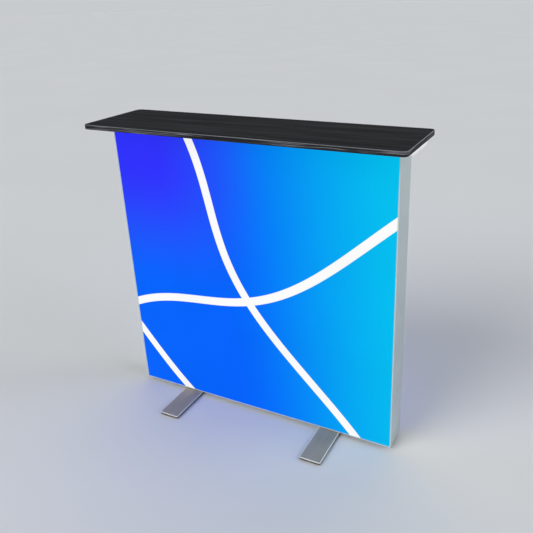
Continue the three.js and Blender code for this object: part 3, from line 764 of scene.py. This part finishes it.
# Carriers
# White moulded trays, upside down over each end of the frame and open towards the middle.
# The board lies on them, and the outer end of each shows as a white band under the overhanging top.
carrier_radius = 0.014
carrier_wall = 0.004
carrier_gap = 0.0003
carrier_ease = 0.0006
carrier_corner_steps = 12
bolt_hole_radius = 0.0033
bolt_hole_steps = 24
carrier_white = moulded_plastic("carrier_white", tone(252, 252, 252), tone(248, 248, 249), 0.38)

wall = Vector((carrier_wall, carrier_wall, 0))
spare_length = Vector((2 * carrier_radius, 0, 0))
frame_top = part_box("profile_top")[1].z


def slab(name, low, high, radius, steps):
    """A flat board with round corners."""
    outline = rounded(low, high, radius, steps)
    return loft(name, [ring(outline, low.z), ring(outline, high.z)])


for side in ("left", "right"):
    low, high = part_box(f"carrier_{side}")
    if side == "left":
        long_low, long_high = low, high + spare_length
        spare_low, spare_high = high.x, long_high.x + overrun
    else:
        long_low, long_high = low - spare_length, high
        spare_low, spare_high = long_low.x - overrun, low.x
    tray = slab(f"carrier_tray_{side}", long_low, long_high, carrier_radius, carrier_corner_steps)
    room = rounded(long_low + wall, long_high - wall, carrier_radius - carrier_wall, carrier_corner_steps)
    hollow = loft("tool", [ring(room, low.z - overrun), ring(room, frame_top + carrier_gap)])
    spare_y = high.y + overrun
    corners = [(spare_low, -spare_y), (spare_high, -spare_y), (spare_high, spare_y), (spare_low, spare_y)]
    spare = loft("tool", [ring(corners, low.z - overrun), ring(corners, high.z + overrun)])
    bolt_tools = []
    for row in ("outer", "inner"):
        bolt_low, bolt_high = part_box(f"board_bolt_{side}_{row}")
        bolt = (bolt_low + bolt_high) / 2
        through = (low.z - overrun, high.z + overrun)
        bolt_tools.append(rod("tool", bolt.x, bolt.y, *through, bolt_hole_radius, bolt_hole_steps))
    carve(tray, hollow, spare, *bolt_tools)
    ease_arrises(tray, carrier_ease)
    tray.data.materials.append(carrier_white)
    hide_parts(f"carrier_{side}")
    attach(shade(tray), "lightbox")


# Board bolts and inserts
# Flanged M6 bolts go up through the track, the profile and the carrier into brass inserts in the board.
# They are inside the frame, so only their zinc and brass finish is added here.
turned_lines = (90.0, 90.0, 700.0)
insert_brass = drawn_metal("insert_brass", tone(206, 178, 110), tone(184, 154, 88), 0.3, turned_lines)
for side in ("left", "right"):
    for row in ("outer", "inner"):
        dress(zinc, f"board_bolt_{side}_{row}")
        dress(insert_brass, f"board_insert_{side}_{row}")


# Countertop
# A 15 mm board with round corners, faced with a charcoal laminate that has a pressed wood grain.
# A wood-grain edge band 1.2 mm thick is glued round it and butted at one end of the back. Its upper arris
# is eased, and painted a little paler along it as a painted highlight.
corner_radius = 0.017
corner_steps = 12
arris_radius = 0.0012
arris_steps = 4
lower_arris = 0.0004
insert_hole_radius = 0.0053
insert_hole_depth = 0.012
charcoal = tone(34, 35, 37)
charcoal_dark = tone(20, 21, 23)
charcoal_light = tone(48, 49, 52)
edge_middle = tone(46, 47, 50)
streak_light = tone(144, 145, 150)
arris_highlight_tone = tone(132, 134, 138)
arris_highlight_share = 0.8
backing_tone = tone(38, 38, 40)
backing_fibres = (20.0, 500.0, 500.0)
backing_contrast = 0.15
broad_share = 0.62
broad_streaks = 3.0
fine_streaks = (9.0, 420.0, 420.0)
pore_spots = (60.0, 1900.0, 1900.0)
pore_start = 0.6
pore_end = 0.72
pore_share = 0.5
figure_relief = 0.5
middle_stop = 0.55

band_low, band_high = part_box("countertop_edge_band")
board_low, board_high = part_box("countertop_board")
laminate_low, laminate_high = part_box("countertop_laminate")
band_thickness = board_low.x - band_low.x
core_radius = corner_radius - band_thickness


def grained(name, tones, contrast, streak_width, bends, sway, sheen, map_name=None):
    """Pressed wood grain: long streaks along x of the piece, or of the named map, crossed by fine pores.

    Tones are dark, middle and light. The streaks sway sideways so far, with so many bends to the metre."""
    material, place = finish(name, {"Specular IOR Level": sheen})
    if map_name:
        place = place.node("ShaderNodeUVMap", {"uv_map": map_name})
    dark, middle, light = tones
    bent = place.node("ShaderNodeCombineXYZ", inputs={1: noise(place, bends, detail=1.0) * sway})
    place = place.node("ShaderNodeVectorMath", {"operation": "ADD"}, {0: place, 1: bent})
    broad = noise(place, stretch=(broad_streaks, 1 / streak_width, 1 / streak_width))
    fine = noise(place, stretch=fine_streaks)
    figure = (broad * broad_share + fine * (1 - broad_share)).spread(contrast)
    pores = noise(place, stretch=pore_spots, detail=1.0).ramp(pore_start, pore_end) * pore_share
    stops = [(0.0, dark), (middle_stop, middle), (1.0, light)]
    colour = figure.node("ShaderNodeValToRGB", {"stops": stops}, {"Fac": figure})
    height = figure * figure_relief - pores
    return material, mix(pores, colour, dark), height, figure


laminate_tones = (charcoal_dark, charcoal, charcoal_light)
laminate_grain, laminate_colour, laminate_height, laminate_figure = grained(
    "laminate_grain", laminate_tones, contrast=0.3, streak_width=0.018, bends=3.0, sway=0.02, sheen=0.02
)
vary(laminate_grain, {
    "Base Color": laminate_colour,
    "Roughness": laminate_figure.ramp(0, 1, low=0.62, high=0.52),
    "Normal": bump(laminate_height, depth=0.00006),
})

laminate = slab("countertop_laminate_sheet", laminate_low, laminate_high, core_radius, corner_steps)
laminate.data.materials.append(laminate_grain)
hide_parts("countertop_laminate")
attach(shade(laminate), "lightbox")

band_profile = [(lower_arris, 0.0), (0.0, lower_arris)]
band_height = band_high.z - band_low.z
band_profile += [(inset, band_height - drop) for inset, drop in eased(arris_radius, arris_steps)]
band_profile += [(band_thickness, 0.0)]
band_rings = []
for inset, height in band_profile:
    band_outline = rounded(band_low, band_high, corner_radius, corner_steps, inset)
    butted = band_outline[corner_steps:] + band_outline[:corner_steps]
    band_rings.append(ring(butted, band_low.z + height))
edge_band = loft("countertop_edge_strip", band_rings, hollow=True)
round_the_edge = [0.0]
for (x0, y0, _), (x1, y1, _) in zip(band_rings[1], band_rings[1][1:] + band_rings[1][:1]):
    round_the_edge.append(round_the_edge[-1] + math.hypot(x1 - x0, y1 - y0))
band_map = edge_band.data.uv_layers.new(name="unrolled")
ring_size = len(band_rings[0])
for face in edge_band.data.polygons:
    columns = [v % ring_size for v in face.vertices]
    for loop, vertex, column in zip(face.loop_indices, face.vertices, columns):
        last = column == 0 and max(columns) == ring_size - 1
        distance = round_the_edge[-1] if last else round_the_edge[column]
        band_map.data[loop].uv = (distance, edge_band.data.vertices[vertex].co.z)

edge_tones = (charcoal_dark, edge_middle, streak_light)
edge_grain, edge_colour, edge_height, edge_figure = grained(
    "edge_band_grain", edge_tones, contrast=0.19, streak_width=0.006, bends=7.0, sway=0.007, sheen=0.08,
    map_name="unrolled"
)
edge_up = placed(edge_grain).part("Z")
# The paler tone along the upper arris is a painted highlight.
arris_highlight_mask = edge_up.ramp(band_high.z - 2 * arris_radius, band_high.z - arris_radius / 2)
vary(edge_grain, {
    "Base Color": mix(arris_highlight_mask * arris_highlight_share, edge_colour, arris_highlight_tone),
    "Roughness": edge_figure.ramp(0, 1, low=0.6, high=0.48),
    "Normal": bump(edge_height, depth=0.00004),
})
edge_band.data.materials.append(edge_grain)
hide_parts("countertop_edge_band")
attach(shade(edge_band), "lightbox")

backing, backing_place = finish("board_backing", {"Roughness": 0.7, "Specular IOR Level": 0.25})
backing_grain = noise(backing_place, stretch=backing_fibres)
vary(backing, {
    "Base Color": mix(backing_grain.spread(backing_contrast), backing_tone, charcoal_dark),
    "Normal": bump(backing_grain, depth=0.00005),
})
board = slab("countertop_core", board_low, board_high, core_radius, corner_steps)
insert_tools = []
for insert in ("left_outer", "left_inner", "right_outer", "right_inner"):
    insert_low, insert_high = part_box(f"board_insert_{insert}")
    middle = (insert_low + insert_high) / 2
    low = board_low.z - insert_hole_depth
    high = board_low.z + insert_hole_depth
    insert_tools.append(rod("tool", middle.x, middle.y, low, high, insert_hole_radius))
carve(board, *insert_tools)
board.data.materials.append(backing)
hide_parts("countertop_board")
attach(shade(board), "lightbox")


# Silicone strips
# Flat translucent strips sewn along the four edges of each fabric and pushed into the frame's grooves.
# They hold the fabric tight by their own spring, and nothing of them shows from outside.
silicone_light = tone(226, 229, 229)
silicone_dark = tone(208, 212, 212)

silicone, silicone_place = finish("silicone", {"Roughness": 0.45, "Specular IOR Level": 0.4})
silicone_clouds = noise(silicone_place, spots=40.0)
vary(silicone, {
    "Base Color": mix(silicone_clouds, silicone_dark, silicone_light),
    "Normal": bump(silicone_clouds, depth=0.00005),
})
for side in ("front", "rear"):
    dress(silicone, *(f"{side}_bead_{end}" for end in ("left", "top", "right", "bottom")))


# Printed stretch fabrics
# A knitted polyester sheet on each face, dye-printed and lit from inside through its whole area.
# Its edges are sewn to silicone strips and turn over a small radius down into the frame's groove.
fold_radius = 0.001
fold_steps = 4
fold_angle = 60
hem_depth = 0.010
hem_gap = 0.00025
fabric_thickness = 0.00025
fabric_corner = 0.003
fabric_corner_steps = 6
knit_pitch = 0.0009
knit_relief = 0.00004
knit_strength = 0.5
stripe_width = 0.030
stripe_edge = 0.0006
glow = 0.84
glow_dip = 0.965
glow_contrast = 0.2
glow_clouds = 5.0
print_share = 0.16
wash_lean = 0.1
wash_level = 0.5
cyan_start = -0.12
cyan_end = 0.66
violet_bottom = 0.43
violet_top = 0.9
violet_left = -0.36
violet_right = 0.12
violet_blue = tone(48, 50, 255)
azure = tone(0, 101, 255)
cyan = tone(0, 200, 240)
black = tone(0, 0, 0)


def stripe(level, slope, middle, rise, swing, length, start):
    """How much of a wavy white stripe covers a place: its middle line runs along the given level."""
    turns = 2 * math.pi / length
    centre = middle + level * rise + (level * turns + start).wave() * swing
    steepness = rise + (level * turns + start + math.pi / 2).wave() * (swing * turns)
    away = abs(slope - centre) / (steepness * steepness + 1).root()
    return away.ramp(stripe_width / 2 - stripe_edge, stripe_width / 2 + stripe_edge, 1, 0)


def printed(name, facing):
    """The print of one side: a wash of blues under white waves, the same as read from either side."""
    material, place = finish(name, {"Roughness": 0.8, "Specular IOR Level": 0.05, "Emission Strength": glow})
    own_x = place.part("X")
    x = own_x * facing
    z = own_x.beside("Z")
    cyan_share = (x + (z - wash_level) * wash_lean).ramp(cyan_start, cyan_end)
    violet_share = z.ramp(violet_bottom, violet_top) * x.ramp(violet_left, violet_right, 1, 0)
    wash = mix(violet_share, mix(cyan_share, azure, cyan), violet_blue)
    rising = stripe(x, z, middle=0.52, rise=0.5, swing=0.08, length=1.25, start=4.2)
    falling = stripe(z, x, middle=0.33, rise=-0.6, swing=0.075, length=1.2, start=2.2)
    corner = stripe(x, z, middle=-0.2, rise=-0.9, swing=0.05, length=0.9, start=0.4)
    ink = mix(rising.most(falling).most(corner), wash, white)
    uneven = noise(place, glow_clouds, detail=1.0).spread(glow_contrast, low=glow_dip)
    columns = (x * (2 * math.pi / knit_pitch)).wave()
    courses = (z * (2 * math.pi / knit_pitch)).wave()
    return vary(material, {
        "Base Color": mix(print_share, black, ink),
        "Emission Color": mix(uneven, black, ink),
        "Normal": bump(columns * courses, knit_relief, knit_strength),
    })


print_low, print_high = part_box("front_graphic")
flat_low = Vector((print_low.x - hem_gap, print_low.z - hem_gap))
flat_high = Vector((print_high.x + hem_gap, print_high.z + hem_gap))
face_reach = -print_low.y
hem_line = rounded(flat_low, flat_high, fabric_corner, fabric_corner_steps)
fabric_rings = [ring(hem_line, face_reach - hem_depth)]
for inset, drop in eased(fold_radius, fold_steps):
    fold_line = rounded(flat_low, flat_high, fabric_corner, fabric_corner_steps, inset)
    fabric_rings.append(ring(fold_line, face_reach - drop))
facing_front = Matrix.Rotation(math.pi / 2, 4, "X")
facing_rear = Matrix.Rotation(math.pi, 4, "Z") @ facing_front

for side, facing, stood in (("front", 1, facing_front), ("rear", -1, facing_rear)):
    sheet = loft(f"{side}_print_fabric", fabric_rings)
    opened = bmesh.new()
    opened.from_mesh(sheet.data)
    half_way = face_reach - hem_depth / 2
    back = [f for f in opened.faces if len(f.verts) > 4 and f.calc_center_median().z < half_way]
    bmesh.ops.delete(opened, geom=back, context="FACES_ONLY")
    opened.to_mesh(sheet.data)
    opened.free()
    sheet.data.transform(stood)
    cloth = sheet.modifiers.new("cloth", "SOLIDIFY")
    cloth.thickness = fabric_thickness
    cloth.offset = -1
    settle(sheet)
    sheet.data.materials.append(printed(f"{side}_print", facing))
    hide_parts(f"{side}_graphic")
    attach(shade(sheet, fold_angle), "lightbox")
